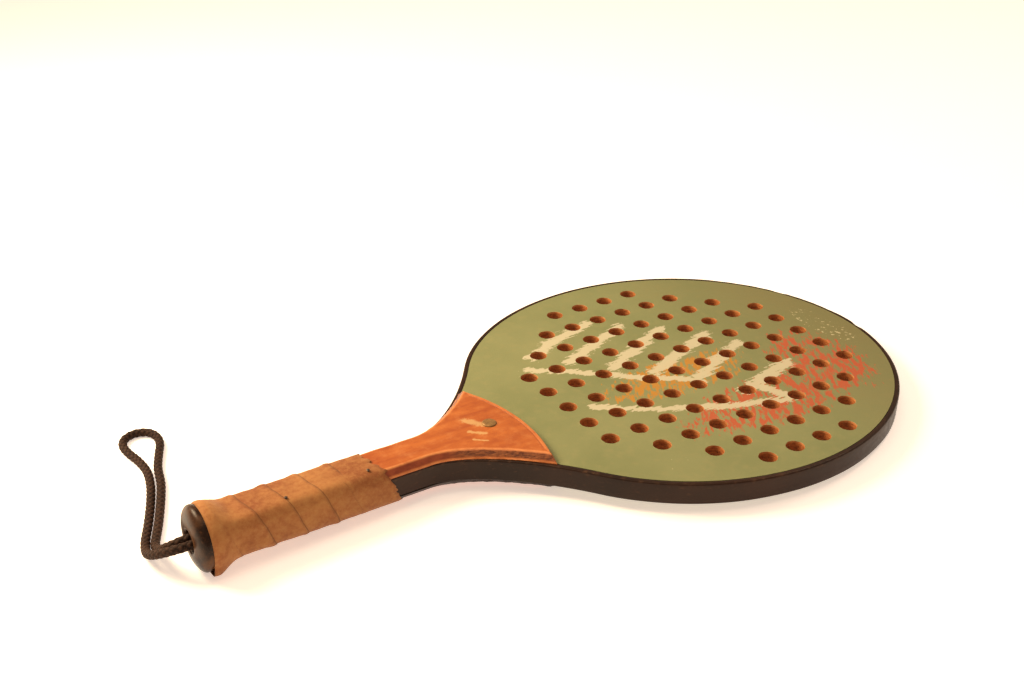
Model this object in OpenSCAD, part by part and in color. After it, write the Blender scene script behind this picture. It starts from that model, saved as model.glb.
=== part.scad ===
// Wooden perforated paddle racket: a laminated blade with drilled air holes, a
// dark edge strip, wooden throat scales, a leather grip and a doubled wrist cord.
// It lies on a level floor at z = 0 with its head towards +X. The grip is thicker
// than the blade, so the whole racket rests tipped on its butt and its head tip.

/* [Overall] */
// Length from the butt cap's crown to the head's tip
overall_len = 455; // [440:1:470]
// Thickness of the blade over both face sheets
blade_t = 13; // [11:0.5:16]
// Thickness of each green face sheet
face_t = 1.25; // [0.8:0.05:1.6]
// Thickness of the strip round the blade's edge
band_t = 3; // [2:0.25:4]

/* [Head] */
// Length of the elliptical head
head_len = 275; // [265:1:285]
// Width of the elliptical head
head_w = 253; // [245:1:260]
// Diameter of each air hole
hole_d = 10.5; // [9:0.25:13]
// Distance from hole to hole, along and across
hole_pitch = 20.5; // [19.5:0.25:20.75]
// How far the hole pattern's middle lies from the head's middle, towards the tip
pattern_x = 5; // [2:0.5:6]
// How far the hole pattern's middle lies to the left of the racket's centreline
pattern_y = -3; // [-4:0.5:4]

/* [Throat and handle] */
// Width of the wooden handle
handle_w = 28; // [26:0.5:32]
// Thickness of the wooden handle over both scales
handle_t = 22; // [20:0.5:26]
// Width of the scales' bevelled edges, seen from above
bevel_w = 4; // [2:0.25:5]
// Distance along the racket from its middle back to where the throat starts to widen
throat_back = 97; // [92:1:102]
// Distance from the racket's middle back to the top of the scales' fan
fan_back = 30; // [28:1:36]
// Sideways place of the fan arc's centre; the arc leans to the handle's right
fan_y = -9; // [-12:0.5:0]
// Radius of the fan's arc
fan_r = 110; // [100:1:125]
// Distance from the racket's middle back to the rivet
rivet_back = 50; // [46:1:60]
// Diameter of the rivet's shank
rivet_d = 4; // [3:0.25:5]
// Diameter of the rivet's head and of its washer
rivet_head_d = 8.5; // [7:0.25:10]

/* [Grip and butt] */
// Thickness of the wound leather
leather_t = 1.6; // [1.2:0.1:2]
// Distance from the racket's middle back to the grip's upper end
grip_back = 119; // [112:1:125]
// Radius of the flared grip where it meets the cap
butt_r = 18.6; // [17.8:0.1:19.5]
// Radius of the butt cap
cap_r = 17.9; // [16.8:0.1:18.2]
// Height of the domed butt cap
cap_h = 6.5; // [5:0.25:8]
// Diameter of the hole that the cord leaves through
cap_hole_d = 12; // [11.75:0.25:13]
// Diameter of the pocket that holds the cord's knot
pocket_d = 14; // [13.5:0.25:15]

/* [Hidden] */
PLY_COUNT = 7;
// the plies are numbered from the bottom one up
PLY_NODES = [for (i = [1:PLY_COUNT]) str("core_ply_", i)];

half_t = blade_t / 2;
ply_t = (blade_t - 2 * face_t) / PLY_COUNT;
core_half_t = half_t - face_t;
handle_half_w = handle_w / 2;
handle_half_t = handle_t / 2;
tip_x = overall_len / 2;
butt_x = -overall_len / 2;
// the handle's wood ends here, against the cap's flat back
wood_end_x = butt_x + cap_h;

// Head and throat outline
head_a = head_len / 2;
head_b = head_w / 2;
head_x = tip_x - head_a;
// where the throat curve runs into the ellipse, as the ellipse's own angle
join_angle = 146;
// how far the throat curve keeps its direction at the handle and at the shoulder
handle_pull = 18;
shoulder_pull = 45;
throat_steps = 12;
head_steps = 30;

// Fan of the scales
fan_x = -fan_back - fan_r;
fan_bevel_w = 2.5;
// the scales' edge draws in from the strip's outer edge to its inner edge at the fan
scale_step_in = 3;

// Rivet
rivet_head_h = 0.9;
rivet_tail_d = 5.5;
washer_t = 0.8;

// Grip
flare_start_x = wood_end_x + 15;
flare_end_x = wood_end_x + 5;
slice_t = 0.01;
// tacks: distance back from the racket's middle, and sideways on the top flat
tack_spots = [[130.5, -8], [177.5, -8]];
tack_shank_d = 1.2;
tack_head_d = 2;
tack_head_h = 0.5;
tack_len = 7;

// Knot pocket in the handle's end
pocket_len = 34;
knot_r = 6.2;
knot_x = -206.5;
knot_len = 14;

// Resting attitude: the grip's flare and the head's lower tip both touch the floor
rest_tilt = atan((butt_r - half_t) / (tip_x - wood_end_x));
rest_lift = tip_x * sin(rest_tilt) + half_t * cos(rest_tilt);

// Wrist cord: one cord folded in half. Its two runs leave the cap side by side, drop to the
// floor, lie against each other and end in a small eye. Points are x, y, z on the level floor.
cord_d = 5;
cord_sides = 10;
cord_route = [
  [-206.5, -3, 18], [-222, -3, 18.5], [-229.5, -3, 18.5], [-235.5, -1, 17.5], [-240.5, 4, 14.5],
  [-243.5, 11.5, 10], [-244, 20, 5.5], [-242.5, 28.5, 3], [-239.5, 37, 2.5], [-234, 49, 2.5],
  [-227, 66, 2.5], [-221.5, 82, 2.5], [-218.5, 97, 2.5], [-219, 110, 2.5], [-221, 121, 2.5],
  [-221.5, 130, 2.5], [-218.5, 137, 2.5], [-211.5, 140, 2.5], [-204.5, 137, 2.5],
  [-201.5, 130, 2.5], [-202.5, 121, 2.5], [-207, 110, 2.5], [-212, 97, 2.5], [-216, 80.5, 2.5],
  [-222, 64, 2.5], [-229, 47, 2.5], [-234.5, 35, 2.5], [-237.5, 27.5, 3.5], [-238.5, 19.5, 6],
  [-238.5, 13, 10], [-236.5, 8, 14], [-233, 4.5, 17], [-228, 3, 18.5], [-222, 3, 18.5],
  [-206.5, 3, 18]];

// ---- outlines ----

function unit(v) = v / norm(v);
// a point moved d towards the racket's middle, given the direction that the edge runs in
function moved_in(p, along, d) = p + d * [unit(along)[1], -unit(along)[0]];
function bezier(p, t) = pow(1 - t, 3) * p[0] + 3 * t * pow(1 - t, 2) * p[1]
  + 3 * t * t * (1 - t) * p[2] + pow(t, 3) * p[3];
function bezier_dir(p, t) = 3 * pow(1 - t, 2) * (p[1] - p[0]) + 6 * t * (1 - t) * (p[2] - p[1])
  + 3 * t * t * (p[3] - p[2]);
function head_point(a) = [head_x + head_a * cos(a), head_b * sin(a)];
function head_dir(a) = [head_a * sin(a), -head_b * cos(a)];

throat_start = [-throat_back, handle_half_w];
shoulder = head_point(join_angle);
throat_curve = [throat_start, throat_start + [handle_pull, 0],
  shoulder - shoulder_pull * unit(head_dir(join_angle)), shoulder];

// the left side's outline from the butt to the tip, moved in by d
function handle_side(d) = [[wood_end_x, handle_half_w - d]];
function throat_side(d) = [for (i = [0:throat_steps - 1]) let (t = i / throat_steps)
  moved_in(bezier(throat_curve, t), bezier_dir(throat_curve, t), d)];
function head_side(d) = [for (i = [0:head_steps]) let (a = join_angle * (1 - i / head_steps))
  moved_in(head_point(a), head_dir(a), d)];
function left_side(d) = concat(handle_side(d), throat_side(d), head_side(d));
function mirrored(pts) = [for (i = [len(pts) - 1:-1:0]) [pts[i][0], -pts[i][1]]];
function without_last(pts) = [for (i = [0:len(pts) - 2]) pts[i]];
function outline(d) = concat(left_side(d), mirrored(without_last(left_side(d))));

// the scales' side: as the outline, but drawing in by scale_step_in towards the fan
function scale_draw_in(i) = scale_step_in * i / throat_steps;
function scale_side(d) = concat(handle_side(d),
  [for (i = [0:throat_steps]) let (t = i / throat_steps)
    moved_in(bezier(throat_curve, t), bezier_dir(throat_curve, t), d + scale_draw_in(i))]);
function scale_outline(d) = concat(scale_side(d), mirrored(scale_side(d)));

// ---- shared shapes ----

// puts a racket that is drawn level, about its middle, at its resting attitude
module at_rest() {
  translate([0, 0, rest_lift])
    rotate([0, rest_tilt, 0])
      children();
}

module plate(pts, z, t) {
  translate([0, 0, z])
    linear_extrude(height = t)
      polygon(pts);
}

// a solid between one symmetrical outline and another of as many points above it; its flat
// faces are strips from side to side
module bevelled_plate(low_pts, high_pts, z, t) {
  n = len(low_pts);
  points = concat([for (p = low_pts) [p[0], p[1], z]], [for (p = high_pts) [p[0], p[1], z + t]]);
  walls = [for (i = [0:n - 1]) let (j = (i + 1) % n) each [[i, j, n + i], [j, n + j, n + i]]];
  flats = [for (i = [0:n / 2 - 2]) let (j = n - 1 - i)
    each [[j, j - 1, i + 1, i], [n + i, n + i + 1, n + j - 1, n + j]]];
  polyhedron(points = points, faces = concat(walls, flats));
}

module air_holes() {
  for (row = [-5:5])
    let (count = abs(row) <= 2 ? 10 : 14 - 2 * abs(row))
      for (i = [0:count - 1])
        translate([head_x + pattern_x + (i - (count - 1) / 2) * hole_pitch, pattern_y + row * hole_pitch, 0])
          cylinder(h = blade_t + 2, d = hole_d, center = true, $fn = 48);
}

module fan_cylinder(t) {
  translate([fan_x, fan_y, 0])
    cylinder(h = t, r = fan_r, center = true, $fn = 96);
}

module rivet_bore() {
  translate([-rivet_back, 0, 0])
    cylinder(h = handle_t + 2, d = rivet_d, center = true, $fn = 32);
}

module pocket() {
  translate([wood_end_x - 1, 0, 0])
    rotate([0, 90, 0])
      cylinder(h = pocket_len + 1, d = pocket_d, $fn = 48);
}

module tack_bores() {
  for (spot = tack_spots)
    translate([-spot[0], spot[1], handle_half_t - tack_len])
      cylinder(h = tack_len + 5, d = tack_shank_d, $fn = 24);
}

// ---- blade and handle ----

module core_ply(i) {
  color(i % 2 == 0 ? "peru" : "sandybrown")
    at_rest()
      difference() {
        plate(outline(band_t), -core_half_t + (i - 1) * ply_t, ply_t);
        air_holes();
        rivet_bore();
        pocket();
      }
}

module face_sheet(z) {
  color([0.55, 0.57, 0.33])
    at_rest()
      difference() {
        plate(outline(band_t), z, face_t);
        air_holes();
        fan_cylinder(blade_t + 2);
      }
}

module bottom_face() {
  face_sheet(-half_t);
}

module top_face() {
  face_sheet(core_half_t);
}

module edge_band() {
  color([0.22, 0.15, 0.11])
    at_rest()
      difference() {
        plate(outline(0), -half_t, blade_t);
        // the inner outline runs on past the butt, so that the strip is open there
        plate(outline(band_t), -half_t - 1, blade_t + 2);
        translate([wood_end_x - 1, band_t - handle_half_w, -half_t - 1])
          cube([2, handle_w - 2 * band_t, blade_t + 2]);
      }
}

// a scale, drawn on top of the blade: an inlay between the edge strips, level with the
// face sheet, under a bevelled board that covers the strips' edges
module throat_board() {
  difference() {
    intersection() {
      plate(outline(band_t), core_half_t, face_t);
      fan_cylinder(blade_t + 2);
    }
    rivet_bore();
    pocket();
  }
  difference() {
    intersection() {
      bevelled_plate(scale_outline(0), scale_outline(bevel_w), half_t, handle_half_t - half_t);
      translate([fan_x, fan_y, half_t])
        cylinder(h = handle_half_t - half_t, r1 = fan_r, r2 = fan_r - fan_bevel_w, $fn = 96);
    }
    rivet_bore();
    pocket();
  }
}

module bottom_scale() {
  color([0.76, 0.40, 0.20])
    at_rest()
      mirror([0, 0, 1])
        throat_board();
}

module top_scale() {
  color([0.78, 0.42, 0.21])
    at_rest()
      difference() {
        throat_board();
        tack_bores();
      }
}

module throat_rivet() {
  color([0.66, 0.52, 0.28])
    at_rest()
      translate([-rivet_back, 0, 0]) {
        cylinder(h = handle_t + 2 * washer_t, d = rivet_d, center = true, $fn = 32);
        translate([0, 0, handle_half_t])
          cylinder(h = rivet_head_h, d1 = rivet_head_d, d2 = rivet_head_d - 1, $fn = 48);
        translate([0, 0, -handle_half_t - washer_t - rivet_head_h])
          cylinder(h = rivet_head_h, d1 = rivet_tail_d - 1, d2 = rivet_tail_d, $fn = 48);
      }
}

module rivet_washer() {
  color([0.70, 0.56, 0.32])
    at_rest()
      translate([-rivet_back, 0, -handle_half_t - washer_t])
        difference() {
          cylinder(h = washer_t, d = rivet_head_d, $fn = 48);
          translate([0, 0, -1])
            cylinder(h = washer_t + 2, d = rivet_d, $fn = 32);
        }
}

// ---- grip ----

// the handle's eight-sided section, grown by d all round
module handle_section(d) {
  w = handle_half_w + d;
  t = handle_half_t + d;
  // a wall that is d thick on the bevel as well leaves the flats this much longer
  flat_w = handle_half_w - bevel_w + 0.45 * d;
  side_t = half_t + 0.45 * d;
  polygon([[t, flat_w], [side_t, w], [-side_t, w], [-t, flat_w],
    [-t, -flat_w], [-side_t, -w], [side_t, -w], [t, -flat_w]]);
}

// a piece of the section from x0 to x1; its first axis is turned to point down
module handle_bar(d, x0, x1) {
  translate([x0, 0, 0])
    rotate([0, 90, 0])
      linear_extrude(height = x1 - x0)
        handle_section(d);
}

module flare(d) {
  hull() {
    handle_bar(d, flare_start_x, flare_start_x + slice_t);
    translate([flare_end_x, 0, 0])
      rotate([0, 90, 0])
        cylinder(h = slice_t, r = butt_r - leather_t + d, $fn = 48);
  }
  translate([wood_end_x, 0, 0])
    rotate([0, 90, 0])
      cylinder(h = flare_end_x - wood_end_x + slice_t, r = butt_r - leather_t + d, $fn = 48);
}

module flare_ring() {
  difference() {
    flare(0);
    handle_bar(0, wood_end_x - 1, flare_start_x + 1);
  }
}

module side_flare_blocks() {
  color("peru")
    at_rest()
      intersection() {
        flare_ring();
        translate([wood_end_x, -butt_r, -half_t])
          cube([flare_start_x - wood_end_x + 1, 2 * butt_r, blade_t]);
      }
}

module face_flare_blocks() {
  color("sandybrown")
    at_rest()
      difference() {
        flare_ring();
        translate([wood_end_x - 1, -butt_r - 1, -half_t])
          cube([flare_start_x - wood_end_x + 3, 2 * butt_r + 2, blade_t]);
      }
}

module leather_grip() {
  color([0.72, 0.52, 0.32])
    at_rest()
      difference() {
        union() {
          handle_bar(leather_t, flare_start_x, -grip_back);
          flare(leather_t);
        }
        handle_bar(0, flare_start_x - slice_t, 1 - grip_back);
        flare(0);
        translate([wood_end_x - 1, 0, 0])
          rotate([0, 90, 0])
            cylinder(h = 1 + slice_t, r = butt_r - leather_t, $fn = 48);
        tack_bores();
      }
}

module grip_tacks() {
  color([0.3, 0.28, 0.26])
    at_rest()
      for (spot = tack_spots)
        translate([-spot[0], spot[1], handle_half_t + leather_t]) {
          cylinder(h = tack_head_h, d = tack_head_d, $fn = 32);
          translate([0, 0, -leather_t - tack_len])
            cylinder(h = leather_t + tack_len, d = tack_shank_d, $fn = 24);
        }
}

// ---- butt cap and cord ----

function cap_profile() = let (rim = 1.5, steps = 8, top_r = cap_hole_d / 2 + 1.5)
  concat([[cap_hole_d / 2, 0], [cap_r, 0], [cap_r, rim]],
    [for (i = [1:steps]) let (a = 90 * i / steps)
      [top_r + (cap_r - top_r) * cos(a), rim + (cap_h - rim) * sin(a)]],
    [[cap_hole_d / 2, cap_h - 1.5]]);

module butt_cap() {
  color([0.16, 0.11, 0.09])
    at_rest()
      translate([wood_end_x, 0, 0])
        rotate([0, -90, 0])
          rotate_extrude($fn = 72)
            polygon(cap_profile());
}

// the cord's two ends are tied together in the pocket
module cord_knot() {
  color([0.20, 0.14, 0.11])
    translate([knot_x, 0, 18])
      rotate([0, 90, 0])
        rotate_extrude($fn = 48)
          polygon([[0, 0], [knot_r - 1, 0], [knot_r, 2], [knot_r, knot_len - 4],
            [knot_r - 2, knot_len], [0, knot_len]]);
}

// a tube that is swept along its route: each ring is square to the run either side of it
function run_dir(route, i) = i == 0 || i == len(route) - 1
  ? [-1, 0, 0] * (i == 0 ? 1 : -1)
  : unit(unit(route[i] - route[i - 1]) + unit(route[i + 1] - route[i]));
function ring_side(dir) = unit(cross([0, 0, 1], dir));
function tube_ring(route, i, r, sides) = let (
    dir = run_dir(route, i),
    side = ring_side(dir),
    up = cross(dir, side))
  [for (k = [0:sides - 1]) let (a = 360 * (k + 0.5) / sides)
    route[i] + r * (cos(a) * side + sin(a) * up)];

module swept_tube(route, d, sides) {
  n = len(route);
  points = [for (i = [0:n - 1]) each tube_ring(route, i, d / 2, sides)];
  walls = [for (i = [0:n - 2]) for (k = [0:sides - 1])
    let (a = i * sides + k, b = i * sides + (k + 1) % sides)
      each [[a, a + sides, b], [b, a + sides, b + sides]]];
  ends = [[for (k = [0:sides - 1]) k], [for (k = [sides - 1:-1:0]) (n - 1) * sides + k]];
  polyhedron(points = points, faces = concat(walls, ends));
}

module wrist_cord() {
  color([0.20, 0.14, 0.11])
    swept_tube(cord_route, cord_d, cord_sides);
}

for (i = [1:PLY_COUNT])
  core_ply(i);
bottom_face();
top_face();
edge_band();
bottom_scale();
top_scale();
throat_rivet();
rivet_washer();
side_flare_blocks();
face_flare_blocks();
leather_grip();
grip_tacks();
butt_cap();
cord_knot();
wrist_cord();
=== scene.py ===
"""The looks of a wooden perforated paddle racket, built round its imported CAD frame.

Shapes are worked out in the racket's own level frame, in millimetres, with X from the butt to
the head's tip and Z out of the top face. place() tips them to the resting attitude, in metres.
"""
import math

import bmesh
import bpy
import numpy as np
from mathutils import Matrix, Vector
from mathutils.geometry import delaunay_2d_cdt


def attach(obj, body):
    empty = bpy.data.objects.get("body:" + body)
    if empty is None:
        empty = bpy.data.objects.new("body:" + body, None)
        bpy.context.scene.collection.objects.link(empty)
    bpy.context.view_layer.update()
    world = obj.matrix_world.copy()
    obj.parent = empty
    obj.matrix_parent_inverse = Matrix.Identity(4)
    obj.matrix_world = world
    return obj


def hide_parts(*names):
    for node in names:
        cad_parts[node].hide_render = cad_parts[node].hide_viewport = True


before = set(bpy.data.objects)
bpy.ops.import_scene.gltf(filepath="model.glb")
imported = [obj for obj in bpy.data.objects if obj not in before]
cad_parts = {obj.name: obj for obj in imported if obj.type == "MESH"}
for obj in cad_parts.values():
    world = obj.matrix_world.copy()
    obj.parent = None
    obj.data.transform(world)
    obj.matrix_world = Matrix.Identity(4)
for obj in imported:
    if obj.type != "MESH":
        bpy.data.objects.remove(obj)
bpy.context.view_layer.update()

MM = 0.001

# ---- the racket's dimensions, as in the CAD model, in millimetres ----
OVERALL_LEN = 455.0
BLADE_T = 13.0
FACE_T = 1.25
BAND_T = 3.0
HEAD_LEN, HEAD_W = 275.0, 253.0
HOLE_R = 5.25
HOLE_PITCH = 20.5
PATTERN_X, PATTERN_Y = 5.0, -3.0
HANDLE_W, HANDLE_T = 28.0, 22.0
BEVEL_W = 4.0
THROAT_X = -97.0
FAN_TOP_X, FAN_Y, FAN_R, FAN_BEVEL_W = -30.0, -9.0, 110.0, 2.5
SCALE_STEP_IN = 3.0
RIVET_X, RIVET_D, RIVET_HEAD_D, RIVET_HEAD_H = -50.0, 4.0, 8.5, 0.9
WASHER_T = 0.8
LEATHER_T = 1.6
GRIP_END_X = -119.0
LEATHER_PITCH, LEATHER_W, LEATHER_SKIN = 18.0, 23.0, 1.25
LEATHER_LEAN, LEATHER_OVERHANG = 3.2, 1.2
LEATHER_TURNS = 7
LOOSE_FOLD_AT, LOOSE_FOLD_OUT = math.radians(228), 3.1
BUTT_R, CAP_R, CAP_H, CAP_HOLE_R = 18.6, 17.9, 6.5, 6.0
TACK_SPOTS = ((-130.5, -8.0), (-177.5, -8.0))
TACK_HEAD_D = 2.0

TIP_X = OVERALL_LEN / 2
WOOD_END_X = -TIP_X + CAP_H
HALF_T = BLADE_T / 2
HANDLE_HALF_T = HANDLE_T / 2
HEAD_A, HEAD_B = HEAD_LEN / 2, HEAD_W / 2
HEAD_X = TIP_X - HEAD_A
FAN_X = FAN_TOP_X - FAN_R
SCALE_T = HANDLE_HALF_T - HALF_T

# the throat curve: a Bezier from the handle's side to the ellipse
JOIN_ANGLE = math.radians(146)
HANDLE_PULL, SHOULDER_PULL = 18.0, 45.0

REST_TILT = math.atan((BUTT_R - HALF_T) / (TIP_X - WOOD_END_X))
REST_LIFT = TIP_X * math.sin(REST_TILT) + HALF_T * math.cos(REST_TILT)

# ---- the wrist cord: its route's points on the floor, in metres, as in the CAD model ----
CORD_D = 0.005
CORD_ROUTE = (
    (-0.2065, -0.003, 0.018), (-0.222, -0.003, 0.0185), (-0.2295, -0.003, 0.0185),
    (-0.2355, -0.001, 0.0175), (-0.2405, 0.004, 0.0145), (-0.2435, 0.0115, 0.010),
    (-0.244, 0.020, 0.0055), (-0.2425, 0.0285, 0.003), (-0.2395, 0.037, 0.0025),
    (-0.234, 0.049, 0.0025), (-0.227, 0.066, 0.0025), (-0.2215, 0.082, 0.0025),
    (-0.2185, 0.097, 0.0025), (-0.219, 0.110, 0.0025), (-0.221, 0.121, 0.0025),
    (-0.2215, 0.130, 0.0025), (-0.2185, 0.137, 0.0025), (-0.2115, 0.140, 0.0025),
    (-0.2045, 0.137, 0.0025), (-0.2015, 0.130, 0.0025), (-0.2025, 0.121, 0.0025),
    (-0.207, 0.110, 0.0025), (-0.212, 0.097, 0.0025), (-0.216, 0.0805, 0.0025),
    (-0.222, 0.064, 0.0025), (-0.229, 0.047, 0.0025), (-0.2345, 0.035, 0.0025),
    (-0.2375, 0.0275, 0.0035), (-0.2385, 0.0195, 0.006), (-0.2385, 0.013, 0.010),
    (-0.2365, 0.008, 0.014), (-0.233, 0.0045, 0.017), (-0.228, 0.003, 0.0185),
    (-0.222, 0.003, 0.0185), (-0.2065, 0.003, 0.018))


# ---- camera, floor and lights ----

def add_camera():
    """The view over the butt's near side, along the racket's left-hand diagonal."""
    place_at = Vector((-0.36316, -0.51646, 0.4065))
    aim = Vector((0.03818, 0.11208, 0.0))
    roll = math.radians(-1.04)
    data = bpy.data.cameras.new("camera")
    data.lens = 44.4
    data.sensor_width = 36.0
    data.clip_start = 0.01
    camera = bpy.data.objects.new("camera", data)
    look = (aim - place_at).to_track_quat("-Z", "Y").to_matrix().to_4x4()
    camera.matrix_world = Matrix.Translation(place_at) @ look @ Matrix.Rotation(roll, 4, "Z")
    bpy.context.scene.collection.objects.link(camera)
    bpy.context.scene.camera = camera


def add_area_light(name, at, aim, size, power, colour):
    data = bpy.data.lights.new(name, "AREA")
    data.shape = "RECTANGLE"
    data.size, data.size_y = size
    data.energy = power
    data.color = colour
    light = bpy.data.objects.new(name, data)
    light.location = at
    light.rotation_euler = (Vector(aim) - Vector(at)).to_track_quat("-Z", "Y").to_euler()
    bpy.context.scene.collection.objects.link(light)


def add_lights():
    """A warm window behind the butt, a soft overhead panel and a small one by the tip."""
    add_area_light("window", (-0.50, 0.52, 0.62), (0, 0, 0), (0.42, 0.42), 16, (1.0, 0.77, 0.50))
    add_area_light("overhead", (-0.15, -0.1, 1.7), (0, 0, 0), (1.2, 1.2), 8, (1.0, 0.80, 0.56))
    add_area_light("tip_panel", (1.10, 0.02, 1.20), (0.1, 0, 0), (0.35, 0.35), 4, (1.0, 0.82, 0.62))


def add_world():
    world = bpy.data.worlds.new("studio")
    world.use_nodes = True
    background = world.node_tree.nodes["Background"]
    background.inputs["Color"].default_value = (1.0, 0.76, 0.56, 1)
    background.inputs["Strength"].default_value = 0.45
    bpy.context.scene.world = world


# ---- mesh helpers ----

def place(points):
    """Points in the racket's level frame, in millimetres, tipped to rest, in metres."""
    p = np.asarray(points, float)
    s, c = math.sin(REST_TILT), math.cos(REST_TILT)
    x = p[:, 0] * c + p[:, 2] * s
    z = -p[:, 0] * s + p[:, 2] * c + REST_LIFT
    return np.stack([x, p[:, 1], z], 1) * MM


def new_piece(name, points, faces, material, nodes=(), marks=None, in_metres=False):
    """A mesh object that rides on the racket, with its material, slot and replaced nodes.

    marks are values from 0 to 1 at each point, by name, that the material reads.
    """
    mesh = bpy.data.meshes.new(name)
    co = np.asarray(points, float) if in_metres else place(points)
    mesh.from_pydata(co.tolist(), [], [list(map(int, f)) for f in faces])
    fix_normals(mesh)
    for mark, values in (marks or {}).items():
        mesh.attributes.new(mark, "FLOAT", "POINT").data.foreach_set("value", values)
    mesh.polygons.foreach_set("use_smooth", [True] * len(mesh.polygons))
    mesh.materials.append(material)
    piece = bpy.data.objects.new(name, mesh)
    bpy.context.scene.collection.objects.link(piece)
    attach(piece, "root")
    if nodes:
        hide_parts(*nodes)
    return piece


def fix_normals(mesh):
    bm = bmesh.new()
    bm.from_mesh(mesh)
    bmesh.ops.recalc_face_normals(bm, faces=bm.faces)
    bm.to_mesh(mesh)
    bm.free()


def sharpen(piece, degrees):
    """Keeps edges hard where the faces meet at more than this angle."""
    piece.data.set_sharp_from_angle(angle=math.radians(degrees))


def grid_faces(rows, cols, close_rows=False, close_cols=False, start=0):
    """Quads between rows of points, as a sheet or closed round either way."""
    faces = []
    for i in range(rows if close_rows else rows - 1):
        for j in range(cols if close_cols else cols - 1):
            a = start + i * cols + j
            b = start + i * cols + (j + 1) % cols
            c = start + (i + 1) % rows * cols + (j + 1) % cols
            d = start + (i + 1) % rows * cols + j
            faces.append((a, b, c, d))
    return faces


def smooth_noise(points, size, seed):
    """A cheap smooth random field from -1 to 1: sines along random directions."""
    source = np.random.default_rng(seed)
    p = np.asarray(points, float)
    total = np.zeros(len(p))
    waves = 9
    for _ in range(waves):
        direction = source.normal(size=p.shape[1])
        direction *= source.uniform(0.6, 1.7) / np.linalg.norm(direction)
        total += np.sin(p @ direction * 2 * math.pi / size + source.uniform(0, 2 * math.pi))
    return total / waves * 1.8


def smoothstep(low, high, x):
    t = np.clip((np.asarray(x, float) - low) / (high - low), 0, 1)
    return t * t * (3 - 2 * t)


def lathe(profile, steps):
    """Points and faces of a profile of (radius, height) turned about +Z."""
    turns = np.linspace(0, 2 * math.pi, steps, endpoint=False)
    profile = np.asarray(profile, float)
    points = [(r * math.cos(a), r * math.sin(a), h) for r, h in profile for a in turns]
    return np.array(points), grid_faces(len(profile), steps, close_cols=True)


# ---- outlines ----

def unit(v):
    return v / np.linalg.norm(v, axis=-1, keepdims=True)


def inward(along):
    along = unit(along)
    return np.stack([along[:, 1], -along[:, 0]], 1)


def throat_bezier():
    start = np.array([THROAT_X, HANDLE_W / 2])
    end = np.array([HEAD_X + HEAD_A * math.cos(JOIN_ANGLE), HEAD_B * math.sin(JOIN_ANGLE)])
    head_dir = unit(np.array([HEAD_A * math.sin(JOIN_ANGLE), -HEAD_B * math.cos(JOIN_ANGLE)]))
    return start, start + [HANDLE_PULL, 0], end - SHOULDER_PULL * head_dir, end


def throat_side(steps):
    """Points along the throat curve and the direction that it runs in."""
    p0, p1, p2, p3 = throat_bezier()
    t = np.linspace(0, 1, steps)[:, None]
    at = (1 - t) ** 3 * p0 + 3 * t * (1 - t) ** 2 * p1 + 3 * t * t * (1 - t) * p2 + t ** 3 * p3
    along = (1 - t) ** 2 * (p1 - p0) + 2 * t * (1 - t) * (p2 - p1) + t * t * (p3 - p2)
    return at, along


def left_side(d, handle_steps=40, throat_steps=40, head_steps=110):
    """The left side's outline from the butt to the tip, moved in by d."""
    x = np.linspace(WOOD_END_X, THROAT_X, handle_steps)[:-1]
    handle = np.stack([x, np.full(len(x), HANDLE_W / 2)], 1)
    handle_dir = np.tile([1.0, 0.0], (len(x), 1))
    throat, throat_dir = throat_side(throat_steps)
    a = np.linspace(JOIN_ANGLE, 0, head_steps)[1:]
    head = np.stack([HEAD_X + HEAD_A * np.cos(a), HEAD_B * np.sin(a)], 1)
    head_dir = np.stack([HEAD_A * np.sin(a), -HEAD_B * np.cos(a)], 1)
    points = np.concatenate([handle, throat, head])
    return points + d * inward(np.concatenate([handle_dir, throat_dir, head_dir]))


def outline(d):
    left = left_side(d)
    return np.concatenate([left, left[-2::-1] * [1, -1]])


def hole_centres():
    centres = []
    for row in range(-5, 6):
        count = 10 if abs(row) <= 2 else 14 - 2 * abs(row)
        for i in range(count):
            x = HEAD_X + PATTERN_X + (i - (count - 1) / 2) * HOLE_PITCH
            centres.append((x, PATTERN_Y + row * HOLE_PITCH))
    return np.array(centres)


# ---- node material helpers ----

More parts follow.
